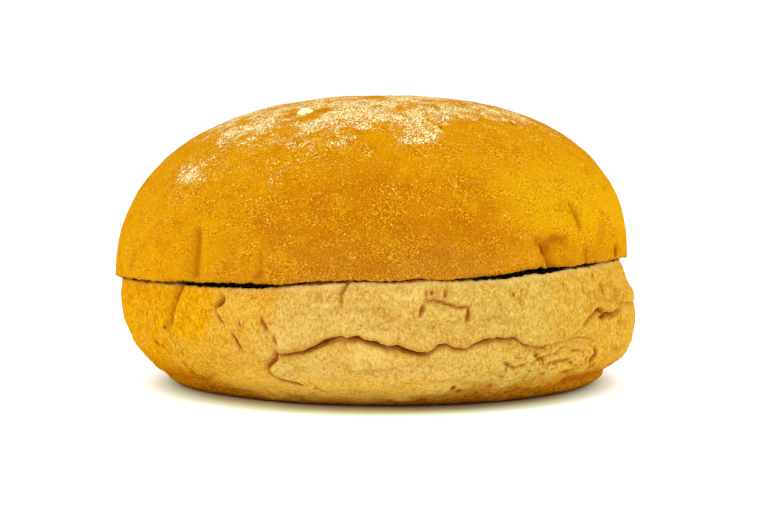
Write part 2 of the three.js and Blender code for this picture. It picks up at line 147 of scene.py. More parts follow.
LOWER_MARKS = [
    # The upper fold round the right corner starts here, with a branch.
    Mark((0.4, 0.6), 1, 0.5, 0.8, (48, 14.9), (50.6, 16.4), (54.6, 17.9), (57.4, 16.9)),
    Mark(0.4, 0.5, 0, 0.8, (54.2, 16.3), (57, 16), (59.5, 16.5)),
    Mark(0.35, 0.4, 0, 0.35, (44.6, 13.4), (48, 14.9)),
    Mark(0.5, 0.5, 0.3, 0.5, (63.5, 17), (67, 18.6), (71, 19.8)),
    Mark(0.45, 0.4, 0, 0.35, (62, 18.8), (65, 19.6), (66.5, 21.4)),
    # The blunt left end of the flap under the long fold.
    Mark((0.7, 0.3), 0.75, 0.5, 0.75, (-20.3, 12.7), (-20.6, 11.7), (-20.8, 10.5), (-22.9, 9.1),
         (-23.7, 8.4), (-23.8, 6.9), (-22.1, 5.9), (-20.3, 5.5), (-16.4, 4.6)),
    # The cracks that step down the left of the pale side.
    Mark((0.6, 0.35), 0.8, 0.4, 0.8, (-32.6, 21.9), (-32.5, 20.6), (-34.1, 19.6), (-34.6, 18.8)),
    Mark(0.34, 0.6, 0.3, 0.8, (-34.6, 18.8), (-33.4, 17.4), (-32.1, 16.1)),
    Mark(0.42, 0.6, 0.4, 0.9, (-31, 15.3), (-29.6, 13.4), (-28.7, 11.3)),
    Mark(0.38, 0.4, 0.2, 0.75, (-29, 17.6), (-28.1, 15.4)),
    Mark(0.42, 0.6, 0.4, 0.9, (-24.1, 18.4), (-21.9, 15.2)),
    Mark(0.4, 0.5, 0.3, 0.8, (-21, 15.2), (-19.6, 12.6)),
    Mark(0.35, 0.2, 0, 0.3, (-15, 17.6), (-15.2, 16)),
    # The nick under the cut, and the line that runs right from it.
    Mark((0.5, 0.24), 0.5, 0.3, 0.62, (-5, 25.2), (-6, 23.7), (-6.8, 22.6), (-6.7, 20.2)),
    Mark(0.35, 0.3, 0, 0.3, (-3.4, 22.6), (-3.5, 21.1)),
    Mark(0.8, 0.3, 0.3, 0.15, (-6.8, 20.6), (-3, 19.7), (1.5, 20.1), (5.2, 19.2)),
    # The torn flap to its right, with a pocket above it.
    Mark((0.28, 0.45), 0.6, 0.3, 0.75, (8.5, 18.2), (9, 19.9), (9.5, 21.2)),
    Mark(0.4, 0.5, 0, 0.6, (9.9, 21.3), (10.1, 22.2), (10, 23.8)),
    Mark(0.33, 0.6, -0.35, 0.74, (18.2, 16.9), (18.7, 18.6), (18.8, 19.9), (16.1, 20.1), (14, 20.7),
         (12.6, 21.2), (9, 21.4)),
    Mark(0.38, 0.6, 0, 0.65, (13.7, 21.2), (14.1, 22.4), (14, 24)),
    # Soft steps over the fold's upper lip.
    Mark(0.9, 0.45, 0.4, 0.12, (-5, 17.3), (0, 16.9), (4.5, 17.7), (11.5, 16.6), (15, 17.2)),
    Mark(0.8, 0.25, 0.2, 0.1, (-12, 18.6), (-9, 17.8)),
    Mark(0.8, 0.3, 0.25, 0.1, (21, 18.2), (27, 17.1), (33, 17.8)),
    Mark(0.7, 0.35, 0.2, 0.15, (24, 20.6), (26, 19.9), (25.4, 18.6)),
    # Wrinkles low on the front and round the right corner.
    Mark(0.55, 0.4, 0.3, 0.3, (-4.6, 7.6), (-2, 8.4), (0.3, 8.6), (2.9, 8.4), (5, 9.6)),
    Mark(0.6, 0.35, 0.2, 0.25, (5, 5.6), (15.3, 5.7), (24.3, 5.3)),
    Mark(0.7, 0.3, 0, 0.15, (-14, 6.6), (-8.5, 5.8), (-3, 5.9)),
    Mark(0.6, 0.25, 0, 0.12, (-9.5, 10.2), (-6, 9.6)),
    Mark(0.6, 0.3, 0.2, 0.15, (8, 9.8), (13, 9), (17, 9.5)),
    Mark(0.29, 0.36, 0.22, 0.66, (26.5, 9.6), (29.8, 8.1), (33.5, 8.9)),
    Mark(0.29, 0.4, 0, 0.62, (31.8, 10.4), (32.6, 8.9)),
    Mark(0.29, 0.38, 0.22, 0.66, (33.6, 11), (35.8, 9.4), (40, 10.2)),
    Mark(0.29, 0.36, 0.22, 0.66, (44, 10.6), (48.5, 10.2)),
    Mark(0.29, 0.38, 0.22, 0.66, (38.2, 7.6), (40.5, 8.4), (46.2, 8.7)),
    Mark(0.36, 0.45, 0.3, 0.65, (44, 5.9), (49.5, 6.6)),
    Mark(0.42, 0.8, 0.3, 0.8, (52.9, 10.8), (53.8, 9), (52.7, 8.2), (53.9, 6.7)),
    Mark(0.5, 0.5, 0.2, 0.4, (61, 9.8), (66, 8.6), (72, 9.2)),
    Mark(0.36, 0.35, 0, 0.7, (56.3, 25.6), (56, 23.2)),
    Mark((0.45, 0.6), 0.4, 0, 0.55, (60.3, 23.4), (59.4, 19.6)),
    Mark(0.38, 0.4, 0.2, 0.75, (49.6, 22.6), (49.4, 21.2)),
    Mark(0.4, 0.4, 0.2, 0.75, (42.7, 23.9), (43.1, 22.4)),
    Mark(0.45, 0.3, 0, 0.55, (30.9, 21.6), (30.7, 19.4)),
    Mark(0.4, 0.25, 0, 0.35, (52.3, 24.6), (52, 22.8)),
    Mark(0.5, 0.5, 0.2, 0.45, (63.5, 14.8), (67, 13.9), (71, 14.6)),
    # The soft fold down the golden left end.
    Mark((1.2, 0.8), 0.9, 0.5, 0.66, (-44.4, 23.4), (-46.6, 20.5), (-48, 18), (-49.3, 14.6),
         trough=0.6),
    # Short folds on the back and one down the left end.
    Mark(0.8, 0.7, 0.3, 0.5, (158, 18.4), (166, 19.6), (172, 18.9)),
    Mark(0.6, 0.7, 0.3, 0.6, (190, 18), (196, 20.4)),
    Mark(0.45, 0.6, 0.3, 0.8, (149, 22.6), (150.5, 19.6), (149.2, 17.8)),
    Mark(0.45, 0.6, 0.3, 0.7, (203, 22.2), (201.5, 20), (204.5, 18.6), (202, 16.8)),
    Mark(0.6, 0.45, 0.2, 0.4, (176, 8.4), (184, 7.4), (193, 8.1)),
    Mark(0.5, 0.4, 0.2, 0.4, (142, 8.6), (149, 7.7), (155, 8.5)),
    Mark(1.2, 0.7, 0.2, 0.3, (-96, 22.5), (-99, 16)),
    # The line over the foot, where the side meets the baked bottom.
    Mark(0.7, 0.4, 0.1, 0.35, (-122, 2.6), (-98, 2.3), (-82, 2.2), (-58, 3.9), (-48, 3.8),
         (-41, 5.8)),
    Mark(1.5, 1.9, 0, 0.45, (48, 3.4), (66, 3.8), (90, 3.4), (112, 3.2), trough=0),
]

UPPER_MARKS = [
    # The tuck at the right, whose left side laps over a hollow, with painted shade spread wide into
    # the hollow, and the grooves beyond it.
    Mark((0.55, 0.65), 1.2, 1.2, 1, (40.6, 24), (40.4, 27), (39.7, 28.8), (38.7, 30.1), trough=0.6,
         shade_spill=6),
    Mark((0.6, 1.1), 0.7, 0.5, 0.55, (39, 30), (37.8, 31.3), (36.4, 32.4), shade_spill=1.5),
    Mark((0.8, 1.5), 0.7, 0, 0.6, (39, 30.2), (41.5, 31.3), (44.9, 31.6), (47.6, 31.2), shade_spill=1.5),
    Mark(0.5, 0.6, 0, 0.65, (49.2, 39.4), (50, 37.4), (51.4, 34.9), (51, 33.2)),
    Mark(0.45, 0.6, 0, 0.65, (53.9, 30.6), (53.5, 25.4)),
    Mark(0.5, 0.3, 0, 0.3, (52.3, 30.6), (52, 26.6)),
    Mark(0.8, 0.3, 0, 0.2, (46.6, 29.4), (46, 26.6)),
    Mark(0.75, 0.8, 0.2, 0.85, (70.2, 29.8), (69.4, 26.6)),
    Mark(0.6, 0.3, 0, 0.3, (61.5, 28.4), (61, 25.2)),
    # The soft folds of the left.
    Mark((0.9, 1.7), 0.8, 0, 0.6, (-38.9, 34.6), (-38.2, 32.4), (-38, 30.2), (-38.4, 27.8),
         (-38.8, 24), trough=0.6),
    Mark(0.7, 0.4, 0.5, 0.15, (-22, 30.8), (-21.8, 27), (-21.9, 24)),
    Mark(0.4, 0.4, 0.4, 0.35, (-24.2, 24.6), (-21.8, 26.6)),
    Mark(1.2, 0.3, 0, 0.12, (-46.5, 29.5), (-46, 23.6)),
    Mark(1.3, 0.3, 0, 0.08, (-33, 28.2), (-32.4, 24)),
    Mark(0.9, 0.25, 0, 0.08, (-28, 27), (-27.2, 24)),
    # The same round the sides and the back.
    Mark(1.4, 0.6, 0.2, 0.2, (-84, 22), (-86, 30)),
    Mark(1.3, 0.9, 0.3, 0.3, (-128, 22), (-125, 32)),
    Mark(1.3, 0.8, 0.3, 0.25, (96, 26), (99, 34)),
    Mark(1.2, 1.1, 0.4, 0.35, (142, 23), (145, 30), (151, 34)),
    Mark(1.3, 0.6, 0, 0.2, (176, 22), (174, 30)),
]

# Shallow hollows, and a swelling where the depth is below zero: azimuth, height, reach, depth.
LOWER_HOLLOWS = [
    (-57, 9, 5, 0.6), (-27.3, 15, 1.7, -0.5), (11.9, 22.8, 1.3, 1.1), (60, 13, 5, 0.4),
    (148, 8, 7, 0.6),
]
UPPER_HOLLOWS = [(42.6, 27.6, 3, 1), (45, 28.5, 5.5, 1.1), (-62, 40, 12, 0.5), (110, 38, 10, 0.6)]

# Small brown spots: azimuth, height, reach, strength.
LOWER_SPOTS = [
    (-57.6, 10.8, 1, 0.7), (-55.6, 10.3, 0.6, 0.8), (-51, 14.5, 0.5, 1), (11.4, 22.7, 0.5, 0.9),
    (17.6, 4.2, 0.6, 1), (19.5, 3.4, 0.5, 0.8), (26, 4.6, 0.6, 0.7), (-14, 4.2, 0.5, 0.6),
    (27.4, 12.9, 0.5, 0.6), (29, 21.9, 0.42, 0.95), (31.2, 22.7, 0.35, 0.9),
    (41.5, 13.9, 0.36, 0.8), (61, 16, 0.45, 0.9), (-12, 10.9, 0.34, 0.6), (4.4, 14.6, 0.34, 0.6),
    (166, 9.5, 0.4, 0.6), (201, 15.2, 0.5, 0.5), (183, 20.6, 0.4, 0.5), (-100, 12, 0.4, 0.5),
]
UPPER_SPOTS = [
    # The first three are painted shade in the tuck's pinch and the hollow beside it.
    (39.4, 29.8, 1.5, 1), (41.4, 30.2, 2.4, 0.66), (42, 27, 2.1, 0.7),
    (-47.4, 55.8, 0.3, 0.8), (21.6, 53.1, 0.35, 0.9), (25, 51.3, 0.3, 0.5), (47.2, 53.9, 0.4, 0.7),
    (50.5, 53.9, 0.45, 0.9), (55, 53.9, 0.4, 0.7), (62, 53.9, 0.35, 0.5), (44, 47.4, 0.3, 0.8),
    (36.5, 48.2, 0.25, 0.5), (22.4, 41.6, 0.5, 0.35), (21.7, 39, 0.6, 0.4), (20.6, 40.3, 0.4, 0.3),
    (-57, 29.5, 0.3, 0.6), (30.2, 37.5, 0.25, 0.6), (-11.5, 33.8, 0.3, 0.5), (-28.5, 29.4, 0.3, 0.5),
    (58.5, 42.5, 0.7, 0.35), (150, 44, 0.4, 0.6), (-130, 38, 0.4, 0.6), (98, 48, 0.4, 0.5),
]

# The clump of flour on top: azimuth, distance from the axis, reach across and along, height.
CLUMP = (-27.6, 28.6, 1.6, 1.35, 0.9)

MARK_FADE = 1.2  # a crease is whole from this far from its ends
END_SHARE = 0.35  # how strong it is at its ends
LIP_SIDE = 0.6  # a crease is this many times as wide under its lip
LIP_CREST = 1.6  # the lip's crest lies this many half widths from the crease
TROUGH_REACH = 3.0  # the soft trough round a crease is this many times as wide
SHADE_SPILL_SHARE = 0.6  # the painted shade on the low side against the crease's own stain

# Where fine creases gather: azimuth, reach, height, reach, strength.
LEVEL_WRINKLES = [
    (42, 26, 8, 5, 1.15), (68, 16, 17, 6, 1), (-46, 16, 6.5, 5, 0.5), (180, 45.84, 10, 8, 0.6),
]
UPRIGHT_WRINKLES = [(52, 18, 22, 4, 0.7), (-56, 22, 17, 6, 0.6), (180, 45.84, 10, 8, 0.3)]

# Where the crust is pale, from touching its neighbours in the tin: from azimuth, to azimuth.
PALE_FRONT = (-24.5, 104)
PALE_BACK = (130, 224)
PALE_SLANT = 0.5  # how far the left boundary moves right for each mm up

# Thin flour on the dome's side: azimuth, reach, height, reach, how much.
FLOUR_ZONES = [(-42, 26, 45, 8, 0.1), (-40, 30, 56, 3, 0.2), (-52, 28, 38, 12, 0.07)]

# Flour on the dome: azimuth, radius from the axis, reach across, reach along, how much.
FLOUR_PATCHES = [
    (-51, 38.5, 3.6, 1.7, 0.75), (-43.5, 35.3, 4.2, 1.6, 0.75), (-33, 25, 10, 6, 0.35),
    (-2, 22, 7, 7, 0.4), (20.8, 30.5, 8, 4, 0.45), (19, 34.8, 3.4, 1.9, 0.9),
    (12.8, 39.3, 3.8, 2.2, 0.75), (-2.5, 30.3, 2.6, 1.8, 0.9), (48, 34.3, 5.6, 2, 0.9),
    (-50, 46.4, 6, 2.4, 0.42), (-38, 46.6, 4, 1.6, 0.3), (-22, 47.6, 1.9, 1.1, 0.5),
    (5.8, 48.5, 1.7, 0.7, 0.55), (-4.8, 48.2, 0.9, 0.6, 0.55), (-8.5, 41, 8.5, 2.4, 0.3),
    (-57, 40.5, 6, 3.5, 0.3),
    (60, 38.8, 8, 3, 0.25), (100, 30, 9, 6, 0.4), (150, 34, 10, 5, 0.5), (-150, 30, 9, 7, 0.4),
    (-100, 33, 8, 6, 0.4), (-128, 43, 6, 3, 0.4), (170, 45, 5, 2, 0.4),
]

# Meshes. Columns lie closer together over the creased front, between these azimuths.
FRONT = (-66, 84)
LOWER_COLUMNS = (640, 304)
UPPER_COLUMNS = (432, 288)


def smooth(x, low, high):
    t = np.clip((x - low) / (high - low), 0, 1)
    return t * t * (3 - 2 * t)


def bell(x):
    return np.exp(-x * x)


def wrap(angle):
    return (angle + math.pi) % (2 * math.pi) - math.pi


def hashed(cells, seed):
    """A repeatable value in 0..1 for each whole-numbered cell."""
    key = cells[..., 0] * 374761393 + cells[..., 1] * 668265263 + cells[..., 2] * 1440662683
    key = key + seed * 974711
    key = (key ^ (key >> 13)) * 1274126177
    key = (key ^ (key >> 16)) * 668265263
    return ((key ^ (key >> 15)) & 0xFFFFF) / 0xFFFFF


def noise(points, size, seed):
    """Smooth noise in -1..1 with cells of the given size, one number or one for each axis."""
    scaled = points / np.asarray(size, dtype=float)
    base = np.floor(scaled).astype(np.int64)
    part = scaled - base
    part = part * part * (3 - 2 * part)
    total = 0
    for corner in itertools.product((0, 1), repeat=3):
        weight = np.prod(np.where(corner, part, 1 - part), axis=-1)
        total = total + weight * hashed(base + corner, seed)
    return 2 * total - 1


def pits(points, size, seed):
    """Round pits: 1 at the middle of each, 0 beyond its rim, of uneven sizes."""
    scaled = points / size
    base = np.floor(scaled).astype(np.int64)
    deepest = np.zeros(len(points))
    for corner in itertools.product((-1, 0, 1), repeat=3):
        cell = base + corner
        middle = cell + np.stack([hashed(cell, seed + i) for i in range(3)], axis=-1)
        reach = 0.25 + 0.4 * hashed(cell, seed + 3)
        away = np.linalg.norm(scaled - middle, axis=-1) / reach
        deepest = np.maximum(deepest, np.clip(1 - away * away, 0, 1))
    return deepest


# The plain forms.
def plan_radius(azimuth):
    return 1 / np.hypot(np.sin(azimuth) / HALF_WIDTH, np.cos(azimuth) / HALF_DEPTH)


def cut_height(radius, azimuth):
    right = radius * np.sin(azimuth)
    front = radius * np.cos(azimuth)
    degrees, heights = zip(*WANDER)
    wander = np.interp(np.degrees(azimuth), degrees, heights, period=360)
    wander = wander * smooth(radius, *WANDER_RADII)
    return CUT_HEIGHT + CUT_RISE_RIGHT * right + CUT_RISE_FRONT * front + wander


def mouth(azimuth):
    total = 0
    for middle, spread, opening in MOUTHS:
        away = wrap(azimuth - math.radians(middle)) / math.radians(spread)
        total = total + opening * bell(away * away)
    return total


def hollow_behind(azimuth, share):
    """How far the crumb has sunk behind the crust where the cut gapes."""
    return MOUTH_HOLLOW * smooth(mouth(azimuth), 0.1, 0.6) * smooth(1 - share, 0.012, 0.05)


def lower_cut(radius, azimuth, share):
    bow = CUT_BOW * (1 - share**4)
    gape = LOWER_SHARE * mouth(azimuth) * share**2 + hollow_behind(azimuth, share)
    return cut_height(radius, azimuth) + bow - REST_GAP / 2 - gape


def upper_cut(radius, azimuth, share):
    bow = CUT_BOW * (1 - share**4)
    gape = (1 - LOWER_SHARE) * mouth(azimuth) * share**2 + hollow_behind(azimuth, share)
    return cut_height(radius, azimuth) + bow + REST_GAP / 2 + gape


def against_path(path, azimuth, height):
    """How far each point lies across a path, positive on its left, and along it."""
    start = math.radians(path[0][0])
    points = np.array([((math.radians(a) - start) * HALF_DEPTH, z) for a, z in path])
    steps = np.diff(points, axis=0)
    lengths = np.linalg.norm(steps, axis=1)
    runs = np.concatenate([[0], np.cumsum(lengths)])
    x = wrap(azimuth - start) * HALF_DEPTH
    dx = x[:, None] - points[None, :-1, 0]
    dz = height[:, None] - points[None, :-1, 1]
    share = np.clip((dx * steps[:, 0] + dz * steps[:, 1]) / lengths**2, 0, 1)
    off_x = dx - share * steps[:, 0]
    off_z = dz - share * steps[:, 1]
    away = np.hypot(off_x, off_z)
    best = np.argmin(away, axis=1)
    rows = np.arange(len(x))
    left = steps[best, 0] * dz[rows, best] - steps[best, 1] * dx[rows, best] >= 0
    across = np.where(left, 1, -1) * away[rows, best]
    along = runs[best] + share[rows, best] * lengths[best]
    return across, along, runs[-1]


def relief(marks, hollows, azimuth, height):
    """How far the crust stands out from its plain form, and how dark its creases are, as browned
    crust and painted shade.
    """
    out = np.zeros(len(azimuth))
    stain = np.zeros(len(azimuth))
    for tall, lobes, turn, phase in SWELLS:
        out += tall * np.sin(lobes * azimuth + turn * height + phase)
    for degrees, middle, reach, depth in hollows:
        x = wrap(azimuth - math.radians(degrees)) * HALF_DEPTH
        out -= depth * bell(np.hypot(x, height - middle) / reach)
    for mark in marks:
        across, along, length = against_path(mark.path, azimuth, height)
        from_end = np.minimum(along, length - along)
        fade = END_SHARE + (1 - END_SHARE) * smooth(from_end, 0, MARK_FADE)
        half = mark.half[0] + (mark.half[1] - mark.half[0]) * along / length
        narrow = LIP_SIDE if mark.lip > 0 else 1
        width = np.where(across > 0, half * narrow, half)
        crest_at = LIP_CREST * half
        crest = np.where(across > 0, mark.lip * bell((across - crest_at) / crest_at), 0)
        trough = mark.trough * mark.deep * bell(across / (TROUGH_REACH * half))
        out += fade * (crest - mark.deep * bell(across / width) - trough)
        # Painted shade on the low side of each crease, wider than the crease's own stain.
        stain_and_shade = SHADE_SPILL_SHARE * bell(np.minimum(across, 0) / (mark.shade_spill * half)) * (across < 0)
        stain_and_shade = np.maximum(bell(across / half), stain_and_shade)
        stain = np.maximum(stain, fade * mark.stain * stain_and_shade)
    return out, stain


def spots(marks, azimuth, height, radius):
    stain = np.zeros(len(azimuth))
    for degrees, middle, reach, strength in marks:
        x = wrap(azimuth - math.radians(degrees)) * radius
        stain = np.maximum(stain, strength * bell(np.hypot(x, height - middle) / reach))
    return stain


def zone(azimuth, height, middle, reach, level, tall):
    """A soft round zone of the crust, from its azimuth and reach, and its height and reach."""
    across = bell(np.degrees(wrap(azimuth - math.radians(middle))) / reach)
    return across * bell((height - level) / tall)


def fold_at(azimuth):
    degrees = np.degrees(azimuth)
    first = FOLD_LINE[0][0]
    degrees = first + (degrees - first) % 360
    marks, heights, strengths = zip(*FOLD_LINE)
    return np.interp(degrees, marks, heights), np.interp(degrees, marks, strengths)


def side_radius(azimuth, height):
    lean = np.sin(azimuth)
    degrees = np.degrees(wrap(azimuth))
    full = plan_radius(azimuth) + SIDE_SHIFT * lean
    widest = WIDEST_HEIGHT + WIDEST_LEAN * lean
    foot = FOOT_RADIUS + FOOT_SPREAD * lean**2 + FOOT_LEAN * lean
    for middle, reach, depth in FOOT_DENTS:
        foot = foot - depth * bell((degrees - middle) / reach)
    power = CORNER_POWER + CORNER_LEAN * lean
    below = full - (full - foot) * np.clip(1 - height / widest, 0, 1) ** power
    above = full - (WAIST + WAIST_LEAN * lean) * ((height - widest) / WAIST_REACH) ** 2
    middle, reach, low, high, depth = NECK
    above = above - depth * smooth(height, low, high) * bell((degrees - middle) / reach)
    return np.where(height > widest, above, below)


# Each row of a skin takes azimuths, and gives radii, heights and stains.
def side_point(azimuth, height, out=0):
    out_of_plain, stain = relief(LOWER_MARKS, LOWER_HOLLOWS, azimuth, height)
    grip = smooth(height, UNDER_RISE, GRIP_HEIGHT)
    return side_radius(azimuth, height) + grip * out_of_plain + out, height, stain


def foot_edge(azimuth):
    return side_point(azimuth, np.full_like(azimuth, UNDER_RISE))


def rim_edge(azimuth):
    return side_point(azimuth, lower_cut(HALF_DEPTH, azimuth, 1) - RIM_ROUND)


def under_fold(azimuth, share):
    top = fold_at(azimuth)[0] + FOLD_PROFILE[0][0]
    return side_point(azimuth, UNDER_RISE + share * (top - UNDER_RISE))


def across_fold(azimuth, over):
    """A row that lies at this height over the fold's line where there is no fold."""
    plain, folded, outs = zip(*FOLD_PROFILE)
    line, strength = fold_at(azimuth)
    radius, height, stain = side_point(azimuth, line + over, strength * np.interp(over, plain, outs))
    height = height + strength * (np.interp(over, plain, folded) - over)
    # Browned crust and painted shade along the fold.
    fold_stain_and_shade = max(most * bell((over - middle) / reach) for middle, reach, most in FOLD_STAIN_AND_SHADE)
    return radius, height, np.maximum(stain, fold_stain_and_shade * strength)


def over_fold(azimuth, share):
    bottom = fold_at(azimuth)[0] + FOLD_PROFILE[-1][0]
    top = lower_cut(HALF_DEPTH, azimuth, 1) - RIM_ROUND
    return side_point(azimuth, bottom + share * (top - bottom))


def lower_rim(azimuth, turn):
    """The rounded edge between the side, at turn 0, and the cut face, at turn 1."""
    radius, height, stain = rim_edge(azimuth)
    angle = turn * math.pi / 2
    inward = RIM_ROUND * (1 - math.cos(angle))
    return radius - inward, height + RIM_ROUND * math.sin(angle), stain


def lower_under(azimuth, share):
    curl = max(0, (share - UNDER_FLAT) / (1 - UNDER_FLAT))
    radius = share * foot_edge(azimuth)[0]
    return radius, np.full_like(azimuth, UNDER_RISE * curl**2), np.zeros_like(azimuth)


def lower_face(azimuth, share):
    radius = share * (rim_edge(azimuth)[0] - RIM_ROUND)
    return radius, lower_cut(radius, azimuth, share), np.zeros_like(azimuth)


def upper_dome(azimuth, share):
    full = plan_radius(azimuth) - DOME_INSET
    power = 2 / (DOME_POWER + DOME_LEAN * np.sin(azimuth))
    turn = share * math.pi / 2
    rim = upper_cut(full, azimuth, 1)
    height = rim + (HEIGHT - rim) * math.sin(turn) ** power
    reach = max(0, math.cos(turn)) ** power
    out, stain = relief(UPPER_MARKS, UPPER_HOLLOWS, azimuth, height)
    return full * reach + reach * out, height, stain


def upper_face(azimuth, share):
    radius = share * upper_dome(azimuth, 0)[0]
    return radius, upper_cut(radius, azimuth, share), np.zeros_like(azimuth)


def column_azimuths(front_count, rest_count):
    left, right = (math.radians(degrees) for degrees in FRONT)
    front = left + (right - left) * np.arange(front_count) / front_count
    rest = right + (2 * math.pi - (right - left)) * np.arange(rest_count) / rest_count
    return np.concatenate([front, rest])


def stitch(lower, upper, low_count, high_count):
    """Faces between two rings, whose counts are the same or one twice the other's."""
    faces = []
    count = min(low_count, high_count)
    for j in range(count):
        k = (j + 1) % count
        if low_count == high_count:
            faces.append((lower + j, lower + k, upper + k, upper + j))
        elif low_count > high_count:
            a, b, c = (lower + (2 * j + i) % low_count for i in range(3))
            faces += [(a, b, upper + j), (b, upper + k, upper + j), (b, c, upper + k)]
        else:
            a, b, c = (upper + (2 * j + i) % high_count for i in range(3))
            faces += [(a, lower + j, b), (b, lower + j, lower + k), (b, lower + k, c)]
    return faces


def summit_shift(height):
    return SUMMIT_SHIFT * np.clip((height - CUT_HEIGHT) / (HEIGHT - CUT_HEIGHT), 0, None) ** 4


def skin(name, azimuths, bottom_pole, rings, top_pole, shift):
    """A closed mesh. Each ring is (how many columns each of its own spans, row function)."""
    points = [(shift(bottom_pole), 0, bottom_pole)]
    stains = [0]
    starts = []
    counts = []
    for every, row in rings:
        azimuth = azimuths[::every]
        radius, height, stain = row(azimuth)
        starts.append(len(points))
        counts.append(len(azimuth))
        right = radius * np.sin(azimuth) + shift(height)
        ring = np.stack([right, -radius * np.cos(azimuth), height], 1)
        points.extend(map(tuple, ring))
        stains.extend(stain)
    points.append((shift(top_pole), 0, top_pole))
    stains.append(0)
    faces = [(0, starts[0] + (j + 1) % counts[0], starts[0] + j) for j in range(counts[0])]
    for i in range(len(rings) - 1):
        faces.extend(stitch(starts[i], starts[i + 1], counts[i], counts[i + 1]))
    last = len(points) - 1
    start, count = starts[-1], counts[-1]
    faces.extend((start + j, start + (j + 1) % count, last) for j in range(count))
    mesh = bpy.data.meshes.new(name)
    mesh.from_pydata(points, [], faces)
    mesh.update()
    return mesh, np.array(points), np.array(stains)


def shares(start, end, step_count):
    """Evenly spaced values after start, up to and with end."""
    return [start + (end - start) * (i + 1) / step_count for i in range(step_count)]


def rows(every, row, values):
    """One ring for each value of a row function, with its columns this many apart."""
    return [(every, lambda azimuth, v=value: row(azimuth, v)) for value in values]


def lower_rings():
    rings = rows(8, lower_under, [0.25]) + rows(4, lower_under, [0.5])
    rings += rows(2, lower_under, [UNDER_FLAT - 0.1])
    rings += rows(1, lower_under, [UNDER_FLAT, 0.88, 0.94, 0.98])
    rings.append((1, foot_edge))
    rings += rows(1, under_fold, shares(0, 1, 32))
    low, high = FOLD_PROFILE[0][0], FOLD_PROFILE[-1][0]
    fold_rows = shares(low, -0.8, 5) + shares(-0.8, 0.9, 12) + shares(0.9, high, 5)
    rings += rows(1, across_fold, fold_rows)
    rings += rows(1, over_fold, shares(0, 1, 22))
    rings += rows(1, lower_rim, [0.35, 0.7, 1])
    rings += rows(1, lower_face, shares(1, 0.95, 5))
    for every, begin, end, count in ((2, 0.95, 0.8, 9), (4, 0.8, 0.45, 12), (8, 0.45, 0.1, 8)):
        rings += rows(every, lower_face, shares(begin, end, count))
    return rings


def upper_rings():
    rings = []
    for every, begin, end, count in ((8, 0, 0.45, 9), (4, 0.45, 0.8, 12), (2, 0.8, 0.95, 9)):
        rings += rows(every, upper_face, shares(begin, end, count))
    rings += rows(1, upper_face, shares(0.95, 1, 5)[:-1])
    rings += rows(1, upper_dome, [0] + shares(0, 0.68, 98))
    rings += rows(2, upper_dome, shares(0.68, 0.86, 24))
    rings += rows(4, upper_dome, shares(0.86, 0.99, 16))
    return rings


def add(name, data, place=(0, 0, 0)):
    thing = bpy.data.objects.new(name, data)
    thing.location = place
    bpy.context.collection.objects.link(thing)
    return thing


def finish_piece(mesh, points, offset, attributes):
    """Store points, in mm round the roll's axis, and the values that the materials read."""
    placed = (points + offset) * MM
    mesh.vertices.foreach_set("co", placed.astype(np.float32).ravel())
    for name, values in attributes.items():
        layer = mesh.attributes.new(name, "FLOAT", "POINT")
        layer.data.foreach_set("value", np.clip(values, 0, 1).astype(np.float32))
    mesh.polygons.foreach_set("use_smooth", [True] * len(mesh.polygons))
    mesh.update()
    return add(mesh.name, mesh)


def normals_of(mesh):
    normals = np.empty(len(mesh.vertices) * 3, dtype=np.float32)
    mesh.vertex_normals.foreach_get("vector", normals)
    return normals.reshape(-1, 3).astype(float)


def axis_offset():
    """Where the roll's axis is in the frame, in mm: at the middle of the lower solid's foot."""
    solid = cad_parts["lower_half"]
    foot = [vertex.co for vertex in solid.data.vertices if vertex.co.z < 0.1 * MM]
    middle = min(foot, key=lambda co: co.xy.length)
    return np.array([middle.x / MM, middle.y / MM, 0])


def polar(points, shift=0):
    x, y = points[:, 0] - shift, points[:, 1]
    return np.arctan2(x, -y), np.hypot(x, y)


def pale_zones(points, azimuth):
    """1 where the crust was shielded by a neighbour, 0 where it baked golden."""
    degrees = np.degrees(azimuth)
    height = points[:, 2]
    ragged = 5 * noise(points, 7, 11) + 2.5 * noise(points, 2.5, 12)
    left = degrees + ragged - (PALE_FRONT[0] + PALE_SLANT * (height - 16))
    low = 1 - smooth(height, 9, 17)
    front = 0.35 * smooth(left, -14 - 20 * low, -6) + 0.65 * smooth(left, -6, 8)
    front = front * smooth(PALE_FRONT[1] + ragged - degrees, -7, 7)
    front = front * (1 - 0.45 * smooth(degrees + ragged, 28, 58))
    round_back = degrees % 360
    back = smooth(round_back + ragged - PALE_BACK[0], -7, 7)
    back = back * smooth(PALE_BACK[1] + ragged - round_back, -7, 7)
    return np.maximum(front, back)


def crumb_relief(points, face, radius, seed):
    """How far the crumb of a cut face has sunk: bubbles, and a fine tooth."""
    bubbles = 0.55 * pits(points, 2.6, seed) + 0.3 * pits(points, 1.3, seed + 4)
    return face * smooth(radius, 0, 1) * (bubbles + 0.12 * noise(points, 0.9, seed + 5))


def inside_crust(azimuth, radius):
    return 1 - smooth(radius - plan_radius(azimuth), *CRUST_DEPTHS)


def in_mouth(azimuth, radius):
    """Where shade is painted: 1 on the cut faces just inside the mouths, where hardly any light gets
    in.
    """
    return smooth(mouth(azimuth), 0.1, 0.45) * smooth(radius, 38, 46)


def strongest(azimuth, height, zones):
    return np.maximum.reduce([most * zone(azimuth, height, *place) for *place, most in zones])


def wrinkle_lines(flat, azimuth, height):
    """Fine broken creases, mostly lying level, where the side has folded most."""
    level = bell(noise(flat, (2.8, 0.85, 1), 91) / 0.11)
    upright = bell(noise(flat, (1.1, 2.6, 1), 92) / 0.11)
    broken = smooth(noise(flat, (2.2, 1.3, 1), 93), -0.3, 0.2)
    level = level * strongest(azimuth, height, LEVEL_WRINKLES)
    upright = upright * strongest(azimuth, height, UPRIGHT_WRINKLES)
    return broken * np.maximum(level, upright)


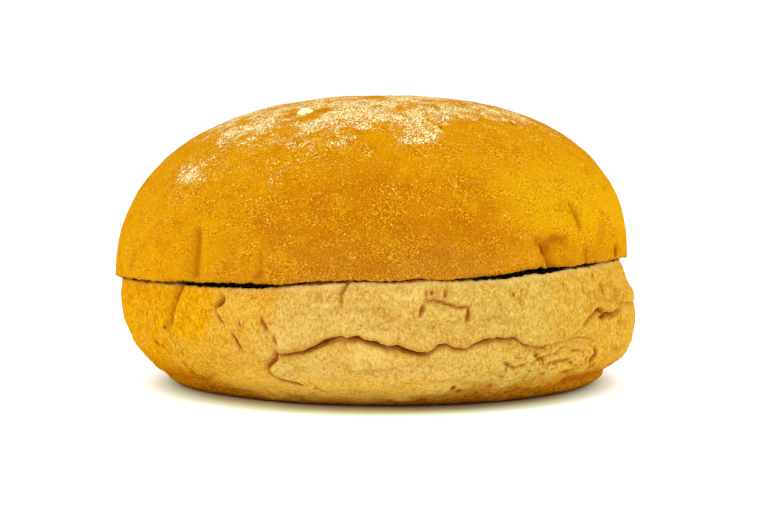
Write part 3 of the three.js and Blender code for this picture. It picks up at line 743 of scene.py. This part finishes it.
def lower_roughness(points, azimuth, height, pale):
    """How far the crust stands out, with the pores and the fine creases that lie in it."""
    flat = np.stack([azimuth * HALF_DEPTH, height, np.zeros_like(height)], 1)
    wrinkle = noise(flat, (7, 1.8, 1), 21) + 0.7 * noise(flat, (2.8, 0.9, 1), 22)
    upright = noise(flat, (1.3, 4.5, 1), 29)
    lumps = 0.26 * noise(points, 4.5, 23) + 0.17 * noise(points, 1.9, 24)
    grain = 0.09 * noise(points, 0.85, 25) + 0.05 * noise(points, 0.5, 28)
    pores = smooth(pits(points, 1.3, 26), 0.5, 0.95) * (noise(points, 4, 27) > 0.35)
    lines = wrinkle_lines(flat, azimuth, height)
    rough = (0.45 + 0.55 * pale) * (0.17 * wrinkle + 0.08 * upright + lumps)
    return rough + grain - 0.12 * pale * pores - 0.38 * lines, pores, lines


def low_left_patches(points, azimuth, height):
    """The mottled crust low on the left: its brown blotches, and the pale between them."""
    low_left = zone(azimuth, height, -50, 18, 8, 6)
    blotches = noise(points, 1.7, 95) + 0.5 * noise(points, 0.8, 96)
    blotches = 0.5 * low_left * smooth(blotches, 0.15, 0.9)
    return blotches, 0.45 * low_left * smooth(noise(points, 2.6, 97), -0.2, 0.5)


def yellowness(points, azimuth, height):
    """Where the crust of the side turns yellow: round the right end, and low on the left."""
    degrees = np.degrees(azimuth)
    right = 0.9 * smooth(degrees + 12 * noise(points, 6, 43), 8, 38)
    right = right * (1 - smooth(degrees, 95, 120))
    left = bell((degrees + 50) / 26) * (1 - smooth(height, 12, 22))
    return np.maximum(right, left)


def foot_baking(points, azimuth, height):
    """How brown the foot is, highest at the ends; brighter over the front, with toast and painted
    light bounced from the table; and painted contact shadow at the very bottom.
    """
    degrees = np.degrees(azimuth)
    ends = smooth(np.abs(degrees + 14), 18, 42)
    browned = ends * (1 - 0.38 * bell((degrees - 30) / 24))
    ragged = 1.0 * noise(points, 4, 41) + 0.6 * noise(points, 1.7, 42)
    return {
        "foot": 1 - smooth(height + ragged, 0.2 + 3.2 * browned, 2.4 + 6.0 * browned),
        # Brighter over the front: toast, and painted light bounced up from the table.
        "toast_and_bounce_light": (1 - ends) * (1 - smooth(height + ragged, 4, 9)),
        # Painted contact shadow where the foot meets the table.
        "contact_shade": 1 - smooth(height + 0.3 * ragged, 0.4, 1.3),
    }


def make_lower(offset):
    azimuths = column_azimuths(*LOWER_COLUMNS)
    bottom, top = 0, CUT_HEIGHT + CUT_BOW - REST_GAP / 2
    mesh, points, stain = skin(
        "lower_half_bread", azimuths, bottom, lower_rings(), top, lambda height: 0 * height
    )
    normals = normals_of(mesh)
    azimuth, radius = polar(points)
    height = points[:, 2]
    over_rim = height - lower_cut(radius, azimuth, np.ones_like(radius))
    pale = pale_zones(points, azimuth)
    face = smooth(normals[:, 2], 0.6, 0.9) * smooth(height, 15, 20)
    side = (1 - face) * smooth(height, 0.4, 2.5)
    rough, pores, lines = lower_roughness(points, azimuth, height, pale)
    out = side * rough - crumb_relief(points, face, radius, 31)
    torn = 0.07 * noise(points, 1.6, 37) + 0.17 * noise(points, 0.5, 38)
    edge = smooth(radius, 49, 51.5) * smooth(over_rim, -0.9, -0.1)
    points = points + normals * out[:, None]
    points[:, 2] = np.maximum(points[:, 2] + edge * torn, 0)
    blotches, paler = low_left_patches(points, azimuth, height)
    pale = np.maximum(pale, paler)
    marked = np.maximum(spots(LOWER_SPOTS, azimuth, height, radius), 0.75 * lines)
    marked = side * np.maximum(marked, blotches)
    shut = 1 - smooth(mouth(azimuth), 0.1, 0.3)
    # Painted shade in the thin line under the upper half's edge, where the cut is shut.
    seam_shade = 0.6 * smooth(over_rim, -0.6, -0.15) * smooth(radius, 47, 50) * shut
    near_cut = (1 - face) * smooth(over_rim, -1.6, -0.2)
    attributes = {
        "pale": pale,
        "crease": np.maximum.reduce([stain, marked, seam_shade]),
        "pore": side * pores,
        "yellow": yellowness(points, azimuth, height),
        "crumb": np.maximum(face * inside_crust(azimuth, radius), (0.1 + 0.3 * pale) * near_cut),
        # Painted shade on the cut face inside the mouths.
        "mouth_shade": face * in_mouth(azimuth, radius),
        **foot_baking(points, azimuth, height),
    }
    return finish_piece(mesh, points, offset, attributes)


def flour_density(points, azimuth, radius, height):
    degrees = np.degrees(azimuth)
    floury_side = 1 - 0.7 * bell((degrees - 60) / 40)
    density = 0.34 * smooth(height, 51, 58) + 0.2 * smooth(height, 47, 53)
    density = density + floury_side * (0.2 * smooth(height, 40, 48) + 0.1 * smooth(height, 26, 40))
    density = density + 0.11 * bell((degrees - 3) / 26) * (1 - smooth(height, 34, 46))
    for *place, much in FLOUR_ZONES:
        density = density + much * zone(azimuth, height, *place)
    for middle, reach_out, across, along, much in FLOUR_PATCHES:
        turn = wrap(azimuth - math.radians(middle))
        x = radius * np.sin(turn)
        y = radius * np.cos(turn) - reach_out
        density = density + 0.5 * much * bell(np.hypot(x / across, y / along))
    uneven = noise(points, 5.5, 51) + 0.8 * noise(points, 2.4, 52) + 0.6 * noise(points, 1.1, 53)
    return density * np.clip(1 + 0.6 * uneven, 0.05, 2)


def flour_clump(azimuth, radius):
    """The clump of flour on top, and the bare, darker smear beside it."""
    middle, distance, wide, long = CLUMP[:4]
    across = distance * wrap(azimuth - math.radians(middle))
    along = radius - distance
    clump = bell(np.hypot(across / wide, along / long) ** 2)
    smear = bell(np.hypot((across - 3) / 1.9, (along + 1.6) / 2.2))
    bare = 0.5 * bell(np.hypot(across / 3, along / 3))
    return clump, np.maximum(smear, bare) * (1 - clump)


def upper_roughness(points, azimuth, height):
    """A taut skin above, and soft upright wrinkles towards the cut."""
    flat = np.stack([azimuth * HALF_DEPTH, height, np.zeros_like(height)], 1)
    upright = noise(flat, (3.4, 12, 1), 61) + 0.5 * noise(flat, (1.6, 6, 1), 62)
    upright = 0.17 * (1 - smooth(height, 26, 37)) * upright
    lumps = 0.16 * noise(points, 8, 63) + 0.08 * noise(points, 3.2, 64)
    return upright + lumps + 0.05 * noise(points, 1.3, 65) + 0.03 * noise(points, 0.8, 66)


def gilding(azimuth, height, uneven):
    """How yellow the dome is: most at the right, and a little at the left and behind."""
    degrees = np.degrees(azimuth)
    start = 32 - 14 * smooth(height, 31, 37)
    right = smooth(degrees + 1.2 * uneven - start, 0, 18) * (1 - smooth(degrees + uneven, 95, 130))
    right = right * (0.3 + 0.7 * smooth(height, 28, 35))
    behind = 0.7 * bell(wrap(azimuth - math.radians(250)) / 0.5)
    return np.maximum.reduce([right, behind, 0.3 * smooth(-degrees, 15, 40)])


def baking(azimuth, height, uneven):
    """How dark the dome is: a wide band over the front, and a fainter one behind."""
    band = (0.9 + 0.1 * smooth(height, 27, 34)) * (1 - smooth(height + uneven, 37, 51))
    front = bell((np.degrees(azimuth) + 2 * uneven - 1) / 31)
    behind = 0.6 * bell(wrap(azimuth - math.radians(200)) / 0.7)
    return np.maximum(front, behind) * band


def painted_shade_on_dome(azimuth, height, uneven):
    """Where shade is painted on the dome: beside the tuck, and low over the front near the cut."""
    degrees = np.degrees(azimuth)
    near_tuck = bell((degrees - 57) / 17) * (1 - smooth(height, 28, 35))
    near_cut = bell((degrees - 9) / 36) * (1 - smooth(height + 0.5 * uneven, 25, 42))
    return np.maximum(near_tuck, near_cut)


def make_upper(offset):
    azimuths = column_azimuths(*UPPER_COLUMNS)
    bottom = CUT_HEIGHT + CUT_BOW + REST_GAP / 2
    mesh, points, stain = skin(
        "upper_half_bread", azimuths, bottom, upper_rings(), HEIGHT,
        lambda height: UPPER_SLIDE + summit_shift(height),
    )
    normals = normals_of(mesh)
    azimuth, radius = polar(points, UPPER_SLIDE + summit_shift(points[:, 2]))
    height = points[:, 2]
    under_rim = upper_cut(radius, azimuth, np.ones_like(radius)) - height
    face = smooth(-normals[:, 2], 0.6, 0.9) * smooth(30 - height, 0, 3)
    side = 1 - face
    clump, smear = flour_clump(azimuth, radius)
    out = side * (upper_roughness(points, azimuth, height) + CLUMP[4] * clump)
    out = out - crumb_relief(points, face, radius, 71)
    torn = 0.06 * noise(points, 1.5, 77) + 0.15 * noise(points, 0.5, 78)
    edge = smooth(radius, 50, 52) * smooth(under_rim, -0.9, -0.1)
    points = points + normals * out[:, None]
    points[:, 2] += edge * torn
    uneven = 4 * noise(points, 9, 82) + 2 * noise(points, 3.5, 83)
    gilt = gilding(azimuth, height, uneven)
    spotted = side * spots(UPPER_SPOTS, azimuth, height, radius)
    flour = flour_density(points, azimuth, radius, height)
    flour = flour * (1 - 0.9 * smear) * (1 - np.minimum(1.3 * spotted, 1))
    middle = bell(wrap(azimuth - math.radians(8)) / math.radians(30))
    attributes = {
        "pale": middle * (1 - smooth(height + 2 * noise(points, 6, 81), 24, 36)),
        "crease": np.maximum(stain, spotted),
        "crumb": face * inside_crust(azimuth, radius),
        "flour": np.maximum(flour, 2 * clump),
        "clump": side * smooth(clump + 0.15 * noise(points, 0.8, 84), 0.35, 0.55),
        "dark": side * np.maximum(baking(azimuth, height, uneven) * (1 - 0.7 * gilt), smear),
        "yellow": gilt * (1 - smooth(height + uneven, 40, 52)),
        "painted_shade": side * painted_shade_on_dome(azimuth, height, uneven),
        # Painted shade on the cut face inside the mouths.
        "mouth_shade": face * in_mouth(azimuth, radius),
    }
    return finish_piece(mesh, points, offset, attributes)


# Materials.
class Nodes:
    """Short names for the nodes of a material, and its colour so far."""

    def __init__(self, name):
        self.material = bpy.data.materials.new(name)
        self.material.use_nodes = True
        self.tree = self.material.node_tree
        self.shader = self.tree.nodes["Principled BSDF"]
        self.shader.inputs["Specular IOR Level"].default_value = 0
        self.place = self.new("TexCoord").outputs["Object"]
        self.colour = None

    def new(self, kind):
        return self.tree.nodes.new("ShaderNode" + kind)

    def link(self, source, socket):
        self.tree.links.new(source, socket)

    def value_of(self, name):
        node = self.new("Attribute")
        node.attribute_name = name
        return node.outputs["Fac"]

    def noise(self, size, detail=2, rough=0.5, stretch=None):
        """Noise in 0..1 with features of about this size in mm."""
        node = self.new("TexNoise")
        node.inputs["Scale"].default_value = 1 / (size * MM)
        node.inputs["Detail"].default_value = detail
        node.inputs["Roughness"].default_value = rough
        place = self.place
        if stretch:
            mapping = self.new("Mapping")
            mapping.inputs["Scale"].default_value = stretch
            self.link(place, mapping.inputs["Vector"])
            place = mapping.outputs["Vector"]
        self.link(place, node.inputs["Vector"])
        return node.outputs["Fac"]

    def ramp(self, source, low, high, to_low=0, to_high=1):
        node = self.new("MapRange")
        node.interpolation_type = "SMOOTHSTEP"
        limits = {"From Min": low, "From Max": high, "To Min": to_low, "To Max": to_high}
        for name, value in limits.items():
            node.inputs[name].default_value = value
        self.link(source, node.inputs["Value"])
        return node.outputs["Result"]

    def math(self, operation, first, second):
        node = self.new("Math")
        node.operation = operation
        for socket, value in zip(node.inputs, (first, second)):
            if isinstance(value, (int, float)):
                socket.default_value = value
            else:
                self.link(value, socket)
        return node.outputs["Value"]

    def share_of(self, name, share):
        return self.math("MULTIPLY", self.value_of(name), share)

    def mix(self, factor, first, second):
        node = self.new("Mix")
        node.data_type = "RGBA"
        self.link(factor, node.inputs[0])
        for socket, colour in ((node.inputs[6], first), (node.inputs[7], second)):
            if isinstance(colour, tuple):
                socket.default_value = (*colour, 1)
            else:
                self.link(colour, socket)
        return node.outputs[2]

    def lay(self, factor, colour):
        """Lay a colour over the one so far."""
        self.colour = self.mix(factor, self.colour, colour)

    def stain_creases(self, brown_from, full_at):
        """Paint the creases, as browned crust and shade: amber where they are faint, and brown where
        they are deep.
        """
        crease = self.value_of("crease")
        stain = self.mix(self.ramp(crease, brown_from, 1), AMBER_BROWN, BROWN)
        self.lay(self.ramp(crease, 0, full_at), stain)

    def finish(self, roughness):
        """Paint shade into the mouths of the cut, and hand the colour and roughness to the shader.
        """
        self.lay(self.value_of("mouth_shade"), SHADE)
        self.link(self.colour, self.shader.inputs["Base Color"])
        self.link(roughness, self.shader.inputs["Roughness"])

    def bump(self, height, distance, strength):
        node = self.new("Bump")
        node.inputs["Distance"].default_value = distance * MM
        node.inputs["Strength"].default_value = strength
        self.link(height, node.inputs["Height"])
        self.link(node.outputs["Normal"], self.shader.inputs["Normal"])


# Colours, in linear light.
GOLD = (0.56, 0.225, 0.001)
DEEP_GOLD = (0.43, 0.135, 0.0008)
YELLOW_GOLD = (0.60, 0.30, 0.0012)
LIGHT_GOLD = (0.72, 0.385, 0.008)
DARK_GRAIN = (0.36, 0.10, 0.0004)
PALE_FLECK = (0.80, 0.51, 0.06)
TAN = (0.55, 0.342, 0.056)
LIGHT_TAN = (0.65, 0.46, 0.108)
YELLOW_TAN = (0.48, 0.32, 0.036)
# Brighter orange low over the front: toast, and painted bounce light from the table.
TOAST_AND_BOUNCE_LIGHT = (0.90, 0.50, 0.055)
PALE_BRIGHT = (0.72, 0.53, 0.17)
CRUMB = (0.70, 0.50, 0.19)
AMBER_BROWN = (0.35, 0.10, 0.0004)
BROWN = (0.22, 0.048, 0.0003)
FOOT_BROWN = (0.54, 0.185, 0.002)
DARK_BROWN = (0.15, 0.035, 0.0005)
# Painted contact shadow at the bottom of the foot.
CONTACT_SHADE = (0.09, 0.022, 0.001)
PALE_GRAIN = (0.90, 0.70, 0.17)
FLOUR = (0.93, 0.89, 0.45)
SHADE = (0.012, 0.004, 0.001)


def golden_crust():
    nodes = Nodes("golden_crust_look")
    patches = nodes.noise(11, 3, 0.55)
    nodes.colour = nodes.mix(nodes.ramp(patches, 0.55, 0.75, 0, 0.4), GOLD, YELLOW_GOLD)
    nodes.lay(nodes.value_of("yellow"), YELLOW_GOLD)
    nodes.lay(nodes.share_of("dark", 0.95), DEEP_GOLD)
    nodes.lay(nodes.share_of("pale", 0.22), TAN)
    mottle = nodes.noise(4.5, 6, 0.7)
    nodes.lay(nodes.ramp(mottle, 0.5, 0.34, 0, 0.5), DARK_GRAIN)
    nodes.lay(nodes.ramp(mottle, 0.52, 0.68, 0, 0.66), YELLOW_GOLD)
    # Grain and flecks lie in clusters, with smooth crust between them.
    clusters = nodes.ramp(nodes.noise(6, 5, 0.7, stretch=(1, 1, 1.7)), 0.45, 0.6, 0.35, 1)
    clusters = nodes.math("MAXIMUM", clusters, nodes.share_of("pale", 0.8))
    grain = nodes.noise(0.32, 2, 0.6)
    fleck = nodes.noise(0.45, 2, 0.7)
    for speck, colour in (
        (nodes.ramp(grain, 0.48, 0.39, 0, 0.95), DARK_GRAIN),
        (nodes.ramp(grain, 0.53, 0.62, 0, 0.85), LIGHT_GOLD),
        (nodes.ramp(fleck, 0.62, 0.68), PALE_FLECK),
    ):
        nodes.lay(nodes.math("MULTIPLY", clusters, speck), colour)
    # Painted shade low over the front and beside the tuck.
    nodes.lay(nodes.share_of("painted_shade", 0.25), BROWN)
    nodes.stain_creases(0.4, 0.9)
    # Flour lies as fine grains, closer together where there is more of it.
    grains = nodes.math("MULTIPLY", nodes.noise(0.32, 2, 0.75), 0.74)
    clumps = nodes.math("MULTIPLY", nodes.noise(1.5, 4, 0.75), 0.26)
    flour = nodes.value_of("flour")
    amount = nodes.ramp(flour, 0, 1, -0.062, 0.092)
    streaks = nodes.noise(2.6, 5, 0.75, stretch=(1, 1, 2.6))
    streaks = nodes.ramp(streaks, 0.38, 0.62, -0.012, 0.012)
    cover = nodes.math("ADD", grains, clumps)
    cover = nodes.math("ADD", cover, nodes.math("ADD", amount, streaks))
    cover = nodes.math("MAXIMUM", nodes.ramp(cover, 0.59, 0.62), nodes.value_of("clump"))
    nodes.lay(cover, nodes.mix(nodes.ramp(flour, 0.35, 0.75), PALE_GRAIN, FLOUR))
    nodes.lay(nodes.value_of("crumb"), CRUMB)
    nodes.finish(nodes.ramp(cover, 0, 1, 0.6, 0.95))
    height = nodes.math("ADD", nodes.noise(0.5, 3, 0.6), nodes.math("MULTIPLY", cover, 0.6))
    nodes.bump(height, 0.12, 0.6)
    return nodes.material


def pale_crust():
    nodes = Nodes("pale_crust_look")
    pale = nodes.value_of("pale")
    yellow = nodes.value_of("yellow")
    foot = nodes.share_of("foot", 0.96)
    patches = nodes.noise(8, 3, 0.55)
    golden = nodes.mix(nodes.ramp(patches, 0.35, 0.7), GOLD, YELLOW_GOLD)
    golden = nodes.mix(yellow, golden, YELLOW_GOLD)
    tan = nodes.mix(nodes.ramp(patches, 0.4, 0.7), TAN, LIGHT_TAN)
    tan = nodes.mix(yellow, tan, YELLOW_TAN)
    nodes.colour = nodes.mix(pale, golden, tan)
    # Toast and painted bounce light low over the front.
    nodes.lay(nodes.share_of("toast_and_bounce_light", 0.85), TOAST_AND_BOUNCE_LIGHT)
    nodes.lay(foot, FOOT_BROWN)
    # Painted contact shadow along the bottom of the foot.
    nodes.lay(nodes.share_of("contact_shade", 0.8), CONTACT_SHADE)
    mottle = nodes.noise(3.2, 6, 0.68, stretch=(1, 1, 1.5))
    nodes.lay(nodes.ramp(mottle, 0.48, 0.68, 0, 0.5), nodes.mix(pale, YELLOW_GOLD, LIGHT_TAN))
    nodes.lay(nodes.ramp(mottle, 0.5, 0.34, 0, 0.46), DEEP_GOLD)
    specks = nodes.ramp(nodes.noise(1.3, 5, 0.75), 0.5, 0.56, 0, 0.8)
    nodes.lay(nodes.math("MULTIPLY", foot, specks), DARK_BROWN)
    # Fine light and dark grain, fainter where the crust is pale.
    bright = nodes.mix(foot, nodes.mix(pale, LIGHT_GOLD, PALE_BRIGHT), GOLD)
    strength = nodes.ramp(pale, 0, 0.8, 1, 0.7)
    for grain in (nodes.noise(0.30, 2, 0.7), nodes.noise(0.5, 2, 0.6, stretch=(1, 1, 0.6))):
        lit = nodes.ramp(grain, 0.52, 0.66, 0, 0.68)
        nodes.lay(nodes.math("MULTIPLY", strength, lit), bright)
        shaded = nodes.ramp(grain, 0.48, 0.35, 0, 0.64)
        nodes.lay(nodes.math("MULTIPLY", strength, shaded), DEEP_GOLD)
    fleck = nodes.ramp(nodes.noise(0.7, 2, 0.6), 0.65, 0.72, 0, 0.8)
    nodes.lay(fleck, nodes.mix(pale, PALE_FLECK, CRUMB))
    nodes.lay(nodes.share_of("pore", 0.3), BROWN)
    nodes.lay(nodes.value_of("crumb"), CRUMB)
    nodes.stain_creases(0.3, 0.85)
    nodes.finish(nodes.ramp(mottle, 0.2, 0.8, 0.8, 0.95))
    nodes.bump(nodes.noise(0.6, 4, 0.65), 0.16, 0.7)
    return nodes.material


def dress(piece, material, node):
    piece.data.materials.append(material)
    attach(piece, "root")
    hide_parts(node)


# The set, in metres. The table glows white away from the roll; close round it the glow fades out and
# its colour is a painted shadow, brown near the foot and green further out.
TABLE_REACH = 4
TABLE_WHITE = (0.93, 0.94, 0.94)
TABLE_GLOW = 0.42
SHADOW_BROWN = (0.70, 0.62, 0.40)
SHADOW_GREEN = (0.64, 0.84, 0.58)
SHADOW_GREEN_AT = 0.28  # share of the way out from the brown
SHADOW_INNER = 0.041
SHADOW_OUTER = 0.053
SHADOW_SQUASH = 0.93
SHADOW_RIGHT = 1.5 * MM
WORLD_STRENGTH = 1.05
# Each light: name, place, power.
LIGHTS = [("left", (-0.5, -0.25, 0.4), 1.15), ("right", (0.55, -0.2, 0.4), 1.3)]
LIGHT_SIZE = 0.4
LIGHT_TARGET = (0, 0, 0.03)
CAMERA_DISTANCE = 0.36
CAMERA_HEIGHT = 0.05
AIM_RIGHT = 0.0015
AIM_HEIGHT = 0.0261
LENS = 79.5
SENSOR_WIDTH = 36


def table_look():
    nodes = Nodes("glowing_table_with_painted_shadow")
    squash = nodes.new("Mapping")
    squash.inputs["Scale"].default_value = (1, SHADOW_SQUASH, 1)
    nodes.link(nodes.place, squash.inputs["Vector"])
    away = nodes.new("VectorMath")
    away.operation = "LENGTH"
    nodes.link(squash.outputs["Vector"], away.inputs[0])
    bright = nodes.ramp(away.outputs["Value"], SHADOW_INNER, SHADOW_OUTER)
    # The table glows, save close round the roll.
    glow = nodes.math("MULTIPLY", bright, TABLE_GLOW)
    nodes.link(glow, nodes.shader.inputs["Emission Strength"])
    nodes.shader.inputs["Emission Color"].default_value = (1, 1, 1, 1)
    # Painted shadow colour close round the roll: brown near the foot, then green.
    tint = nodes.new("ValToRGB")
    tint.color_ramp.elements[0].color = (*SHADOW_BROWN, 1)
    tint.color_ramp.elements[1].color = (*TABLE_WHITE, 1)
    tint.color_ramp.elements.new(SHADOW_GREEN_AT).color = (*SHADOW_GREEN, 1)
    nodes.link(bright, tint.inputs["Fac"])
    nodes.link(tint.outputs["Color"], nodes.shader.inputs["Base Color"])
    nodes.shader.inputs["Roughness"].default_value = 0.9
    return nodes.material


def make_floor(offset):
    mesh = bpy.data.meshes.new("table")
    corners = ((-1, -1), (1, -1), (1, 1), (-1, 1))
    corners = [(x * TABLE_REACH, y * TABLE_REACH, 0) for x, y in corners]
    mesh.from_pydata(corners, [], [(0, 1, 2, 3)])
    mesh.materials.append(table_look())
    add("table", mesh, (offset[0] * MM + SHADOW_RIGHT, offset[1] * MM, 0))


def make_world():
    world = bpy.data.worlds.new("white_room")
    world.use_nodes = True
    background = world.node_tree.nodes["Background"]
    background.inputs["Color"].default_value = (1, 1, 1, 1)
    background.inputs["Strength"].default_value = WORLD_STRENGTH
    bpy.context.scene.world = world


def aim(thing, target):
    direction = np.array(target) - np.array(thing.location)
    flat = math.hypot(direction[0], direction[1])
    pitch = math.atan2(direction[2], flat)
    heading = math.atan2(-direction[0], direction[1])
    thing.rotation_euler = (math.pi / 2 + pitch, 0, heading)


def make_light(name, place, power):
    data = bpy.data.lights.new(name, "AREA")
    data.shape = "DISK"
    data.size = LIGHT_SIZE
    data.energy = power
    aim(add(name, data, place), LIGHT_TARGET)


def make_camera(offset):
    data = bpy.data.cameras.new("camera")
    data.lens = LENS
    data.sensor_width = SENSOR_WIDTH
    data.clip_start = 0.01
    x = offset[0] * MM + AIM_RIGHT
    y = offset[1] * MM
    camera = add("camera", data, (x, y - CAMERA_DISTANCE, CAMERA_HEIGHT))
    aim(camera, (x, y, AIM_HEIGHT))
    bpy.context.scene.camera = camera


offset = axis_offset()
make_camera(offset)
dress(make_lower(offset), pale_crust(), "lower_half")
dress(make_upper(offset), golden_crust(), "upper_half")
make_floor(offset)
make_world()
for light in LIGHTS:
    make_light(*light)
bpy.context.scene.view_settings.view_transform = "Standard"
